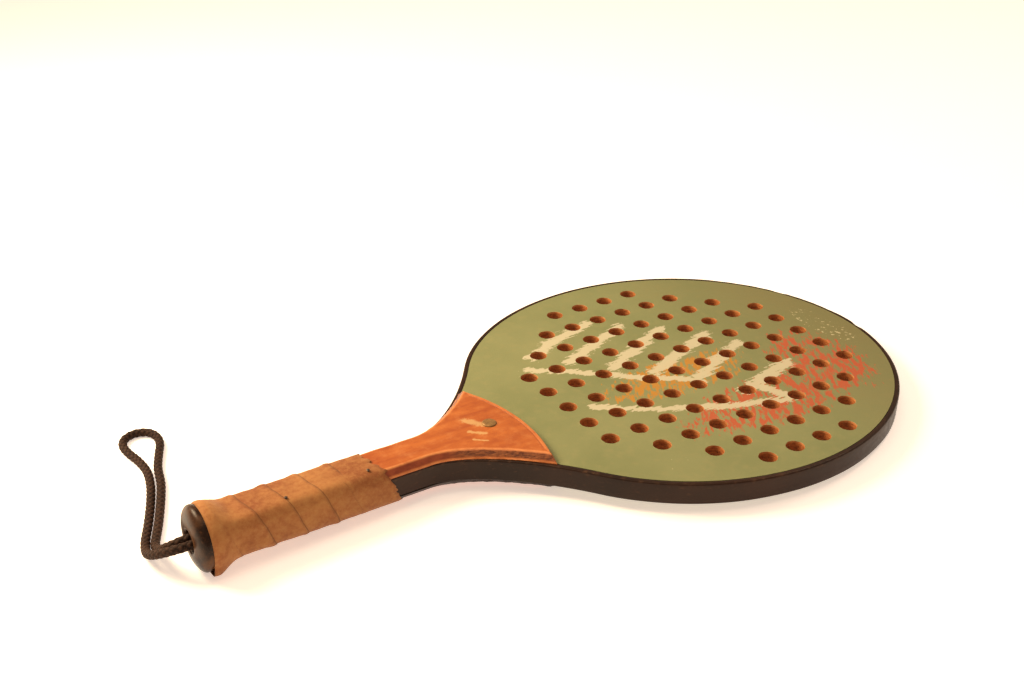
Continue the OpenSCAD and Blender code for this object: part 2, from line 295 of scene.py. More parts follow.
class Nodes:
    """Short calls for building a material's node tree."""

    def __init__(self, name):
        self.material = bpy.data.materials.new(name)
        self.material.use_nodes = True
        self.tree = self.material.node_tree
        self.shader = self.tree.nodes["Principled BSDF"]
        self.coords = self.tree.nodes.new("ShaderNodeTexCoord").outputs["Object"]

    def set(self, **values):
        for name, value in values.items():
            self.shader.inputs[name.replace("_", " ")].default_value = value
        return self

    def link(self, source, name):
        self.tree.links.new(source, self.shader.inputs[name])
        return self

    def _put(self, socket, value):
        if isinstance(value, bpy.types.NodeSocket):
            self.tree.links.new(value, socket)
        else:
            socket.default_value = value

    def mark(self, name):
        """A piece's own mark, as new_piece made it."""
        node = self.tree.nodes.new("ShaderNodeAttribute")
        node.attribute_name = name
        return node.outputs["Fac"]

    def math(self, operation, *values, clamp=False):
        node = self.tree.nodes.new("ShaderNodeMath")
        node.operation = operation
        node.use_clamp = clamp
        for i, value in enumerate(values):
            self._put(node.inputs[i], value)
        return node.outputs[0]

    def vector(self, operation, *values, output=0):
        node = self.tree.nodes.new("ShaderNodeVectorMath")
        node.operation = operation
        for i, value in enumerate(values):
            self._put(node.inputs[i], value)
        return node.outputs[output]

    def scaled(self, vector, scale):
        node = self.tree.nodes.new("ShaderNodeMapping")
        self._put(node.inputs["Vector"], vector)
        node.inputs["Scale"].default_value = scale
        return node.outputs[0]

    def noise(self, scale, vector=None, detail=4.0, roughness=0.55, distortion=0.0, output="Fac"):
        node = self.tree.nodes.new("ShaderNodeTexNoise")
        self._put(node.inputs["Vector"], self.coords if vector is None else vector)
        node.inputs["Scale"].default_value = scale
        node.inputs["Detail"].default_value = detail
        node.inputs["Roughness"].default_value = roughness
        node.inputs["Distortion"].default_value = distortion
        return node.outputs[output]

    def voronoi(self, scale, vector=None, feature="F1", output="Distance"):
        node = self.tree.nodes.new("ShaderNodeTexVoronoi")
        node.feature = feature
        self._put(node.inputs["Vector"], self.coords if vector is None else vector)
        node.inputs["Scale"].default_value = scale
        return node.outputs[output]

    def span(self, value, low, high, to_low=0.0, to_high=1.0, smooth=False):
        node = self.tree.nodes.new("ShaderNodeMapRange")
        node.interpolation_type = "SMOOTHSTEP" if smooth else "LINEAR"
        self._put(node.inputs["Value"], value)
        node.inputs["From Min"].default_value = low
        node.inputs["From Max"].default_value = high
        node.inputs["To Min"].default_value = to_low
        node.inputs["To Max"].default_value = to_high
        return node.outputs[0]

    def mix(self, factor, a, b, blend="MIX"):
        node = self.tree.nodes.new("ShaderNodeMix")
        node.data_type = "RGBA"
        node.blend_type = blend
        self._put(node.inputs[0], factor)
        for socket, value in ((node.inputs[6], a), (node.inputs[7], b)):
            self._put(socket, value if isinstance(value, bpy.types.NodeSocket) else rgba(value))
        return node.outputs[2]

    def bump(self, height, strength, distance, after=None):
        node = self.tree.nodes.new("ShaderNodeBump")
        node.inputs["Strength"].default_value = strength
        node.inputs["Distance"].default_value = distance
        self._put(node.inputs["Height"], height)
        if after is not None:
            self.tree.links.new(after, node.inputs["Normal"])
        return node.outputs[0]

    def xyz(self, vector=None):
        node = self.tree.nodes.new("ShaderNodeSeparateXYZ")
        self._put(node.inputs[0], self.coords if vector is None else vector)
        return node.outputs


def rgba(colour):
    return (*colour, 1.0) if len(colour) == 3 else tuple(colour)


# ---- materials ----

def veneer_material(name, light, dark):
    """Edge-on veneer inside the air holes: streaky warm wood, kept dark as painted shade deep in the holes.
    """
    n = Nodes(name)
    streaks = n.noise(420, n.scaled(n.coords, (1, 1, 1.6)), detail=5)
    colour = n.mix(n.span(streaks, 0.3, 0.7), dark, light)
    n.link(colour, "Base Color").set(Roughness=0.75, Specular_IOR_Level=0.25)
    n.link(n.bump(streaks, 0.5, 0.0004), "Normal")
    return n.material


def varnished_wood_material(name, shade_underside):
    """Orange-brown throat wood: fine grain, worn varnish, dark rough bevels, pale scuffs, a painted highlight
    along the rounded crest and foot, painted shade in the fan's groove, and, for the bottom board, painted
    shade on the bevels that face the floor.
    """
    n = Nodes(name)
    figure = n.noise(30, n.scaled(n.coords, (1, 5, 5)), detail=5, roughness=0.6, distortion=0.5)
    mottle = n.noise(170, detail=5, roughness=0.65)
    colour = n.mix(n.span(figure, 0.3, 0.7), (0.29, 0.062, 0.012), (0.42, 0.118, 0.022))
    colour = n.mix(n.span(mottle, 0.5, 0.75, 0, 0.55), colour, (0.50, 0.19, 0.060))
    colour = n.mix(n.span(mottle, 0.44, 0.3, 0, 0.4), colour, (0.24, 0.045, 0.012))
    colour = n.mix(scuffs(n), colour, (0.52, 0.33, 0.14))
    fibre = n.noise(800, n.scaled(n.coords, (0.16, 0.7, 1.3)), detail=4, roughness=0.65)
    bare = n.mix(n.span(fibre, 0.38, 0.66), (0.075, 0.018, 0.006), (0.27, 0.085, 0.026))
    smooth = n.mix(n.span(mottle, 0.35, 0.7), (0.17, 0.030, 0.010), (0.27, 0.055, 0.016))
    side = n.mix(n.mark("end_grain"), smooth, bare)
    colour = n.mix(n.mark("bevel"), colour, side)
    # painted highlight: lighter wood along the rounded crest and foot and along the fan's arc, where light
    # catches them
    colour = n.mix(n.math("MULTIPLY", n.mark("painted_highlight"), n.span(mottle, 0.3, 0.55, 0.45, 0.9)),
                   colour, (0.60, 0.23, 0.075))
    # painted shade: the bottom board's bevels, which face the floor, go near-black
    if shade_underside:
        colour = n.mix(n.mark("underside_shade_zone"), colour, (0.022, 0.010, 0.006))
    n.link(colour, "Base Color").link(n.span(mottle, 0.3, 0.7, 0.38, 0.55), "Roughness")
    n.set(Specular_IOR_Level=0.35)
    first = n.bump(mottle, 0.25, 0.0003)
    rough = n.math("MULTIPLY", fibre, n.mark("end_grain"))
    n.link(n.bump(rough, 0.6, 0.0006, after=first), "Normal")
    return n.material


# Pale rubbed patches by the rivet: (from x, y, to x, y, half width), in millimetres
SCUFFS = ((-60, 10, -54, 1, 2.9), (-64, -2, -57, -8, 1.6), (-66, -10, -60, -15, 0.9))


def scuffs(n):
    """1 on the patches that were rubbed pale beside the rivet, with ragged ends."""
    at = n.vector("MULTIPLY", n.coords, (1000, 1000, 0))
    near = None
    for stroke in SCUFFS:
        off = stroke_distance(n, at, stroke)
        near = off if near is None else n.math("MINIMUM", near, off)
    ragged = n.math("MULTIPLY", n.noise(420, detail=5, roughness=0.7), 2.6)
    return n.math("MULTIPLY", n.span(n.math("ADD", near, ragged), 2.35, 1.75), 0.75)


def edge_strip_material():
    """Near-black waxed strip with rubbed brown patches and a few pale nicks."""
    n = Nodes("edge_strip")
    drift = n.noise(22, detail=3)
    rub = n.noise(240, n.scaled(n.coords, (1, 1, 2)), detail=4)
    colour = n.mix(n.span(drift, 0.35, 0.7), (0.014, 0.0060, 0.0032), (0.030, 0.0120, 0.0060))
    colour = n.mix(n.span(rub, 0.60, 0.8, 0, 0.6), colour, (0.062, 0.028, 0.015))
    colour = n.mix(n.math("MULTIPLY", n.mark("lip"), n.span(rub, 0.5, 0.75, 0.0, 0.7)), colour,
                   (0.075, 0.035, 0.018))
    nicks = n.span(n.voronoi(95), 0.04, 0.07, 1, 0)
    here = n.span(n.noise(14, detail=1), 0.64, 0.67)
    colour = n.mix(n.math("MULTIPLY", nicks, here), colour, (0.42, 0.36, 0.28))
    n.link(colour, "Base Color").link(n.span(rub, 0.3, 0.7, 0.30, 0.44), "Roughness")
    n.set(Specular_IOR_Level=0.17)
    n.link(n.bump(rub, 0.10, 0.0003), "Normal")
    return n.material


def brass_material(name, tint):
    """Dull old brass, browned by tarnish."""
    n = Nodes(name)
    tarnish = n.noise(420, detail=5)
    colour = n.mix(n.span(tarnish, 0.35, 0.7), tint, [v * 0.55 for v in tint])
    n.link(colour, "Base Color").link(n.span(tarnish, 0.3, 0.7, 0.45, 0.65), "Roughness")
    n.set(Metallic=0.35)
    n.link(n.bump(tarnish, 0.3, 0.0002), "Normal")
    return n.material


def leather_material():
    """Tan suede, rubbed smooth and darker in patches, with strip edges darkened by grime and by painted shade
    in the seams between turns.
    """
    n = Nodes("grip_leather")
    nap = n.noise(1500, detail=3, roughness=0.7)
    grain = n.noise(300, detail=6, roughness=0.7)
    handled = n.noise(34, detail=5)
    colour = n.mix(n.span(handled, 0.36, 0.64), (0.215, 0.066, 0.018), (0.320, 0.134, 0.042))
    colour = n.mix(n.span(grain, 0.44, 0.75, 0, 0.5), colour, (0.42, 0.22, 0.075))
    colour = n.mix(n.span(grain, 0.46, 0.28, 0, 0.4), colour, (0.15, 0.048, 0.014))
    # dark strip edges: grime, and painted shade in the seams where one turn laps the next
    colour = n.mix(n.math("MULTIPLY", n.mark("edge"), 0.75), colour, (0.095, 0.034, 0.011))
    n.link(colour, "Base Color").link(n.span(handled, 0.3, 0.7, 0.65, 0.85), "Roughness")
    n.set(Specular_IOR_Level=0.2, Sheen_Weight=0.08, Sheen_Roughness=0.5)
    first = n.bump(grain, 0.4, 0.0005)
    n.link(n.bump(nap, 0.25, 0.0002, after=first), "Normal")
    return n.material


def cap_material():
    """Dark polished cap, rubbed through to brown in patches."""
    n = Nodes("cap")
    wear = n.noise(70, detail=5, distortion=0.4)
    fine = n.noise(700, detail=4)
    colour = n.mix(n.span(wear, 0.44, 0.70), (0.014, 0.0065, 0.004), (0.085, 0.036, 0.014))
    colour = n.mix(n.span(fine, 0.55, 0.75, 0, 0.35), colour, (0.115, 0.050, 0.021))
    n.link(colour, "Base Color").link(n.span(wear, 0.3, 0.7, 0.24, 0.40), "Roughness")
    n.set(Specular_IOR_Level=0.13)
    n.link(n.bump(fine, 0.15, 0.0002), "Normal")
    return n.material


def cord_material():
    """Worn dark braid: brown on the worn crowns of its yarns, near-black in its grooves as painted shade."""
    n = Nodes("cord")
    fibre = n.noise(1300, detail=3, roughness=0.7)
    fade = n.noise(60, detail=3)
    colour = n.mix(n.span(fade, 0.35, 0.7), (0.010, 0.0045, 0.0028), (0.024, 0.011, 0.0065))
    # brown on the yarns' worn crowns; the near-black left between them is painted shade in the grooves
    colour = n.mix(n.math("MULTIPLY", n.mark("crown"), n.span(fibre, 0.35, 0.7)), colour,
                   (0.085, 0.038, 0.022))
    n.link(colour, "Base Color").set(Roughness=0.7, Specular_IOR_Level=0.15)
    n.link(n.bump(fibre, 0.4, 0.0002), "Normal")
    return n.material


def tack_material():
    n = Nodes("tack_steel")
    rust = n.noise(900, detail=4)
    colour = n.mix(n.span(rust, 0.35, 0.7), (0.10, 0.075, 0.06), (0.05, 0.028, 0.02))
    n.link(colour, "Base Color").link(n.span(rust, 0.3, 0.7, 0.4, 0.7), "Roughness")
    n.set(Metallic=0.6)
    return n.material


# Brush strokes in worn cream paint: (from x, y, to x, y, half width), in millimetres
BRUSH_STROKES = (
    (19, 59, 74, 80, 5.0), (36, 41, 90, 62, 4.6), (55, 22, 110, 46, 5.2), (73, 3, 132, 25, 4.8),
    (92, -17, 140, 3, 4.6), (9, 47, 90, -22, 3.6), (15, -12, 63, -43, 3.4),
    (63, -43, 118, -65, 3.8), (106, -43, 150, -31, 5.4), (112, -38, 122, -64, 4.0))


def stroke_distance(n, at, stroke):
    """How far a point lies outside one brush stroke, in half widths."""
    x0, y0, x1, y1, half_w = stroke
    run = (x1 - x0, y1 - y0, 0)
    from_start = n.vector("SUBTRACT", at, (x0, y0, 0))
    share = n.math("DIVIDE", n.vector("DOT_PRODUCT", from_start, run, output=1),
                   float(run[0] ** 2 + run[1] ** 2), clamp=True)
    scale = n.tree.nodes.new("ShaderNodeVectorMath")
    scale.operation = "SCALE"
    scale.inputs[0].default_value = run
    n.tree.links.new(share, scale.inputs["Scale"])
    off = n.vector("LENGTH", n.vector("SUBTRACT", from_start, scale.outputs[0]), output=1)
    return n.math("DIVIDE", off, half_w)


def face_material(name, painted):
    """Green face sheet: faint mottling, darker and browner towards the tip from a stain and from painted
    shade, bare wood round its holes, and old paint on the top.
    """
    n = Nodes(name)
    cloud = n.noise(16, detail=4)
    mottle = n.noise(190, detail=5, roughness=0.6)
    colour = n.mix(n.span(cloud, 0.35, 0.68), (0.172, 0.194, 0.084), (0.218, 0.232, 0.106))
    colour = n.mix(n.span(mottle, 0.5, 0.8, 0, 0.35), colour, (0.29, 0.26, 0.12))
    # darker and browner towards the tip: a brownish stain, and painted shade where the window's light falls
    # off
    tipward_stain_and_shade = n.span(n.math("ADD", n.xyz(n.coords)[0], n.math("MULTIPLY", cloud, 0.16)), 0.19, 0.34)
    colour = n.mix(n.math("MULTIPLY", tipward_stain_and_shade, 0.75), colour, (0.155, 0.130, 0.050))
    if painted:
        colour = old_paint(n, colour)
    specks = n.math("MULTIPLY", n.span(n.voronoi(230), 0.05, 0.09, 1, 0),
                    n.span(n.noise(33, detail=1), 0.68, 0.72))
    colour = n.mix(n.math("MULTIPLY", specks, 0.6), colour, (0.55, 0.52, 0.34))
    # bare wood at the holes' mouths, lighter than the veneers deeper in: that difference is painted shade
    # inside the holes
    wood = n.mix(n.span(mottle, 0.35, 0.65), (0.34, 0.105, 0.030), (0.58, 0.25, 0.090))
    colour = n.mix(n.mark("bare"), colour, wood)
    n.link(colour, "Base Color").link(n.span(mottle, 0.3, 0.7, 0.45, 0.58), "Roughness")
    n.set(Specular_IOR_Level=0.3)
    n.link(n.bump(mottle, 0.12, 0.0003), "Normal")
    return n.material


def old_paint(n, colour):
    """Worn cream brush strokes over orange and red dry-brushed flecks, and small pale nicks."""
    millimetres = n.vector("MULTIPLY", n.coords, (1000, 1000, 0))
    wander = n.vector("SUBTRACT", n.noise(28, detail=2, output="Color"), (0.5, 0.5, 0.5))
    at = n.vector("ADD", millimetres, n.vector("MULTIPLY", wander, (9, 9, 0)))
    near = None
    for stroke in BRUSH_STROKES:
        off = stroke_distance(n, at, stroke)
        near = off if near is None else n.math("MINIMUM", near, off)
    flakes = n.noise(420, detail=5, roughness=0.7)
    bristles = n.noise(60, n.scaled(n.coords, (0.8, 9, 1)), detail=4)
    loss = n.math("ADD", n.math("MULTIPLY", flakes, 1.9), n.math("MULTIPLY", bristles, 2.6))
    cover = n.span(n.math("ADD", near, loss), 3.14, 3.04)
    x, y = n.xyz(millimetres)[:2]
    streaks = n.noise(230, turned_streaks(n), detail=4, roughness=0.65)
    orange = n.math("ADD", fleck_zone(n, x, y, 82, -8, 74, 28), streaks)
    red = n.math("ADD", fleck_zone(n, x, y, 116, -60, 100, 34), streaks)
    red_far = n.math("ADD", fleck_zone(n, x, y, 172, -38, 38, 56), streaks)
    colour = n.mix(n.span(orange, 1.20, 1.25, 0, 0.88), colour, (0.43, 0.19, 0.022))
    red = n.math("MAXIMUM", red, red_far)
    colour = n.mix(n.span(red, 1.20, 1.25, 0, 0.9), colour, (0.42, 0.078, 0.030))
    nicks = n.math("ADD", fleck_zone(n, x, y, 206, -6, 16, 46), n.noise(380, detail=4))
    colour = n.mix(n.span(nicks, 1.34, 1.37, 0, 0.8), colour, (0.50, 0.46, 0.28))
    return n.mix(n.math("MULTIPLY", cover, 0.93), colour, (0.49, 0.455, 0.32))


def turned_streaks(n):
    """Coordinates stretched along the brush's way over the blade."""
    node = n.tree.nodes.new("ShaderNodeVectorRotate")
    node.rotation_type = "Z_AXIS"
    node.inputs["Angle"].default_value = math.radians(-60)
    n.tree.links.new(n.coords, node.inputs["Vector"])
    return n.scaled(node.outputs[0], (0.45, 1.5, 1))


def fleck_zone(n, x, y, middle_x, middle_y, reach_x, reach_y):
    """1 in the middle of an oval zone and nothing past its edge."""
    dx = n.math("DIVIDE", n.math("SUBTRACT", x, middle_x), reach_x)
    dy = n.math("DIVIDE", n.math("SUBTRACT", y, middle_y), reach_y)
    far = n.math("SQRT", n.math("ADD", n.math("MULTIPLY", dx, dx), n.math("MULTIPLY", dy, dy)))
    return n.span(far, 0.55, 1.15, 0.74, 0.35)


def floor_material():
    """A pale sweep, lit a little from behind."""
    n = Nodes("floor")
    grain = n.noise(30, detail=2)
    n.link(n.mix(grain, (0.88, 0.86, 0.83), (0.90, 0.88, 0.85)), "Base Color")
    n.set(Roughness=0.85, Specular_IOR_Level=0.2)
    n.set(Emission_Color=(1.0, 0.84, 0.74, 1), Emission_Strength=0.55)
    return n.material


# ---- the wrist cord ----

def smooth_route(points, per_run):
    """A Catmull-Rom curve through the route's points."""
    p = np.asarray(points, float)
    p = np.concatenate([[2 * p[0] - p[1]], p, [2 * p[-1] - p[-2]]])
    t = np.linspace(0, 1, per_run, endpoint=False)[:, None]
    runs = []
    for a, b, c, d in zip(p[:-3], p[1:-2], p[2:-1], p[3:]):
        runs.append(0.5 * (2 * b + (c - a) * t + (2 * a - 5 * b + 4 * c - d) * t ** 2
                           + (3 * b - a - 3 * c + d) * t ** 3))
    return np.concatenate([*runs, p[-2:-1]])


def even_route(points, step):
    """The same curve, resampled at even steps along its length."""
    run = np.concatenate([[0], np.cumsum(np.linalg.norm(np.diff(points, axis=0), axis=1))])
    at = np.linspace(0, run[-1], int(round(run[-1] / step)) + 1)
    return np.stack([np.interp(at, run, points[:, k]) for k in range(3)], 1), at


def carried_frames(path):
    """A side and an up vector at each point, turned along the path without twist."""
    along = unit(np.gradient(path, axis=0))
    side = np.cross([0, 0, 1], along[0])
    sides = []
    for direction in along:
        side = side - direction * (side @ direction)
        side = side / np.linalg.norm(side)
        sides.append(side)
    sides = np.array(sides)
    return along, sides, np.cross(along, sides)


def tube_rings(path, half_w, half_t, out, across, sides):
    """Rings of an oval tube along a path: half_t along out and half_w along across."""
    a = np.linspace(0, 2 * math.pi, sides, endpoint=False)
    over = half_w * np.cos(a)[None, :, None] * across[:, None]
    ring = over + half_t * np.sin(a)[None, :, None] * out[:, None]
    return (path[:, None] + ring).reshape(-1, 3)


def capped_tube_faces(rings, sides, start):
    faces = grid_faces(rings, sides, close_cols=True, start=start)
    faces.append(tuple(range(start + sides - 1, start - 1, -1)))
    faces.append(tuple(range(start + (rings - 1) * sides, start + rings * sides)))
    return faces


def make_wrist_cord():
    """A round braid of eight yarns, four wound each way, over and under by turns."""
    strands, lead, step = 4, 0.016, 0.0006
    yarn_half_w, yarn_half_t, weave = 0.00128, 0.00072, 0.00024
    mid_r = CORD_D / 2 + 0.0001 - yarn_half_t - weave
    path, run = even_route(smooth_route(CORD_ROUTE, 12), step)
    along, side, up = carried_frames(path)
    crossing = lead / (2 * strands)
    sides = 8
    points = [tube_rings(path, mid_r, mid_r, up, side, sides)]
    faces = capped_tube_faces(len(path), sides, 0)
    crown = [np.zeros(len(points[0]))]
    for way in (1, -1):
        for k in range(strands):
            turn = (way * 2 * math.pi * run / lead + 2 * math.pi * k / strands)[:, None]
            out = np.cos(turn) * side + np.sin(turn) * up
            r = mid_r + way * weave * np.cos(math.pi * run / crossing)
            yarn = path + out * r[:, None]
            across = unit(np.cross(np.gradient(yarn, axis=0), out))
            faces += capped_tube_faces(len(path), sides, len(points) * len(points[0]))
            points.append(tube_rings(yarn, yarn_half_w, yarn_half_t, out, across, sides))
            # crowns: the outer side of each yarn where it crosses over; the rest stays near-black as painted
            # shade
            on_top = smoothstep(0.2, 1.0, way * np.cos(math.pi * run / crossing))
            outside = np.clip(np.sin(np.linspace(0, 2 * math.pi, sides, endpoint=False)), 0, 1)
            crown.append(np.outer(on_top, outside).ravel())
    cord = new_piece("braided_wrist_cord", np.concatenate(points), faces, cord_material(),
                     nodes=["wrist_cord"], marks={"crown": np.concatenate(crown)}, in_metres=True)
    return cord


# ---- the blade ----

def worn_hole(middle, seed, steps=40):
    """A drilled hole's edge, rubbed a little out of round."""
    a = np.linspace(0, 2 * math.pi, steps, endpoint=False)
    way = np.stack([np.cos(a), np.sin(a)], 1)
    return way, (HOLE_R + 0.1 * smooth_noise(way, 2.4, seed))[:, None], middle


def make_face_sheet(name, material, node, up):
    """A drilled face sheet. Its holes are countersunk by wear and their rims are bare wood."""
    gap = 0.12
    shown = HALF_T
    edge = fan_cut(outline(BAND_T + gap))
    holes = [worn_hole(middle, 50 + k) for k, middle in enumerate(hole_centres())]
    # rings down each hole: how far out of its radius, how far down, and how bare of paint
    hole_rings = ((0.16, 0.0, 0.0), (0.1, 0.04, 0.8), (0.0, 0.2, 1.0), (0.0, 0.5, 1.0), (0.0, FACE_T, 1.0))
    edge_rings = ((0.0, 0.0), (-0.05, 0.15), (-0.05, FACE_T))
    loops = [[np.column_stack([edge + way_in(edge) * (-d), np.full(len(edge), shown - h)])
              for d, h in edge_rings]]
    for way, r, middle in holes:
        loops.append([np.column_stack([middle + way * (r + out), np.full(len(way), shown - h)])
                      for out, h, _ in hole_rings])
    tops = [rings[0][:, :2] for rings in loops]
    points, faces, bare = [np.concatenate(tops)], fill(tops), [np.zeros(sum(map(len, tops)))]
    points[0] = np.column_stack([points[0], np.full(len(points[0]), shown)])
    cover_count, first = len(faces), 0
    base = len(points[0])
    for k, rings in enumerate(loops):
        faces += join_rings(first, base, len(rings[0]), len(rings) - 1)
        for level, ring in enumerate(rings[1:], 1):
            points.append(ring)
            bare.append(np.full(len(ring), hole_rings[level][2] if k else 0.0))
            base += len(ring)
        first += len(rings[0])
    points = np.concatenate(points)
    points[:, 2] *= up
    sheet = new_piece(name, points, faces, material, nodes=[node],
                      marks={"bare": np.concatenate(bare)})
    sharpen(sheet, 50)
    sheet.data.polygons.foreach_set("use_smooth", [k >= cover_count for k in range(len(faces))])
    return sheet


def way_in(edge):
    """Unit directions into a closed loop that runs from the racket's left to its right."""
    along = np.roll(edge, -1, axis=0) - np.roll(edge, 1, axis=0)
    return inward(along)


def join_rings(first, base, count, rings):
    """Quads from a ring at first, down rings of as many points that start at base."""
    faces, above = [], first
    for ring in range(rings):
        below = base + ring * count
        faces += [(above + i, above + (i + 1) % count, below + (i + 1) % count, below + i)
                  for i in range(count)]
        above = below
    return faces


def fan_cut(edge):
    """The outline, cut back to the boards' arc."""
    middle = np.array([FAN_X, FAN_Y])
    keep = edge[np.hypot(*(edge - middle).T) > FAN_R + 0.2]
    angles = [math.atan2(p[1] - FAN_Y, p[0] - FAN_X) for p in (keep[-1], keep[0])]
    a = np.linspace(angles[0], angles[1], 60)[1:-1]
    return np.concatenate([keep, middle + (FAN_R + 0.1) * np.stack([np.cos(a), np.sin(a)], 1)])


def fill(loops):
    """Triangles inside the first loop and outside all the others."""
    points, edges = np.concatenate(loops), []
    for loop in loops:
        start = len(edges)
        edges += [(start + i, start + (i + 1) % len(loop)) for i in range(len(loop))]
    found = delaunay_2d_cdt([Vector(p) for p in points], edges, [], 1, 1e-5)
    middles = np.array([np.mean([found[0][i] for i in face], axis=0) for face in found[2]])
    keep = np.ones(len(middles), bool)
    for loop in loops[1:]:
        keep &= np.hypot(*(middles - loop.mean(0)).T) > HOLE_R
    return [tuple(found[3][i][0] for i in face) for face, kept in zip(found[2], keep) if kept]


def band_section():
    """The strip's section, as (distance in from the outline, height), rounded outside."""
    r, steps = 1.1, 5
    corner = [(r - r * math.sin(t), r - r * math.cos(t)) for t in np.linspace(0, math.pi / 2, steps)]
    low = [(d, h - HALF_T) for d, h in corner]
    high = [(d, -h) for d, h in low[::-1]]
    return [(BAND_T, -HALF_T + 0.25), (BAND_T - 0.3, -HALF_T), *low[::1], (0, -2.2), (0, 2.2), *high,
            (BAND_T - 0.3, HALF_T), (BAND_T, HALF_T - 0.25)]


def chip_depth(path):
    """How deep the strip's top outer edge is worn and chipped, on the far side near the tip."""
    spots = ((150, 104, 5.0, 1.1), (163, 97, 3.5, 1.3), (181, 86, 3.0, 0.8), (203, 62, 4.0, 0.9),
             (112, 120, 2.5, 0.7), (223, -18, 5.0, 0.7), (215, 45, 6.0, 1.0))
    depth = 0.25 * smoothstep(186, 196, path[:, 0]) * smoothstep(-4, 6, path[:, 1])
    depth = depth * (1 + 0.35 * smooth_noise(path, 7.0, 13))
    for x, y, reach, deep in spots:
        away = np.hypot(path[:, 0] - x, path[:, 1] - y)
        depth = np.maximum(depth, deep * np.clip(1.3 - away / reach, 0, 1))
    return depth


def make_edge_band():
    section = band_section()
    rows = [outline(d) for d, _ in section]
    path = outline(0)
    chips = chip_depth(path)
    rough = smooth_noise(path, 3.0, 11)
    points = []
    for (d, h), row in zip(section, rows):
        exposed = smoothstep(-2.0, HALF_T, h) * smoothstep(BAND_T, 0.0, d)
        sink = chips * (1.0 + 0.4 * rough) * exposed
        middle = np.array([HEAD_X, 0])
        toward = unit(middle - row)
        wave = 0.10 * smooth_noise(np.column_stack([row, np.full(len(row), h)]), 45, 12)
        flat = row + toward * (sink * 0.8 + wave)[:, None]
        points.append(np.column_stack([flat, h - sink * 0.7]))
    points = np.stack(points, 1).reshape(-1, 3)
    count = len(section)
    faces = grid_faces(len(path), count, close_cols=True)
    faces.append(tuple(range(count)))
    faces.append(tuple(range(len(points) - 1, len(points) - count - 1, -1)))
    heights = np.tile([h for _, h in section], len(path))
    across = np.tile([d for d, _ in section], len(path))
    lip = smoothstep(HALF_T - 2.0, HALF_T - 0.6, heights) * smoothstep(2.2, 0.8, across)
    band = new_piece("bent_edge_strip", points, faces, edge_strip_material(),
                     nodes=["edge_band"], marks={"lip": lip})
    sharpen(band, 50)


# ---- the throat boards ----

def board_side(d, steps=400):
    """A board's left side, moved in by d, from the butt to well past the fan's arc."""
    x = np.linspace(WOOD_END_X, THROAT_X, steps)[:-1]
    throat, throat_dir = throat_side(steps)
    side = np.concatenate([np.stack([x, np.full(len(x), HANDLE_W / 2)], 1), throat])
    along = np.concatenate([np.tile([1.0, 0.0], (len(x), 1)), throat_dir])
    draw_in = np.concatenate([np.zeros(len(x)), np.linspace(0, SCALE_STEP_IN, steps)])
    return side + inward(along) * (d + draw_in)[:, None]


def board_ring(d, arc_d, side_steps=110, arc_steps=90):
    """A board's edge moved in by d at its sides and by arc_d at its fan, as a closed loop."""
    arc_r = FAN_R - arc_d
    middle = np.array([FAN_X, FAN_Y])
    sides, corners = [], []
    for flip in (1, -1):
        side = board_side(d) * [1, flip]
        out = np.hypot(*(side - middle).T) > arc_r
        side = side[:int(np.argmax(out)) + 1]
        run = np.concatenate([[0], np.cumsum(np.hypot(*np.diff(side, axis=0).T))])
        at = np.linspace(0, run[-1], side_steps)
        sides.append(np.stack([np.interp(at, run, side[:, k]) for k in (0, 1)], 1))
        corners.append(math.atan2(side[-1, 1] - FAN_Y, side[-1, 0] - FAN_X))
    a = np.linspace(corners[0], corners[1], arc_steps)[1:-1]
    arc = middle + arc_r * np.stack([np.cos(a), np.sin(a)], 1)
    return np.concatenate([sides[0], arc, sides[1][::-1]])


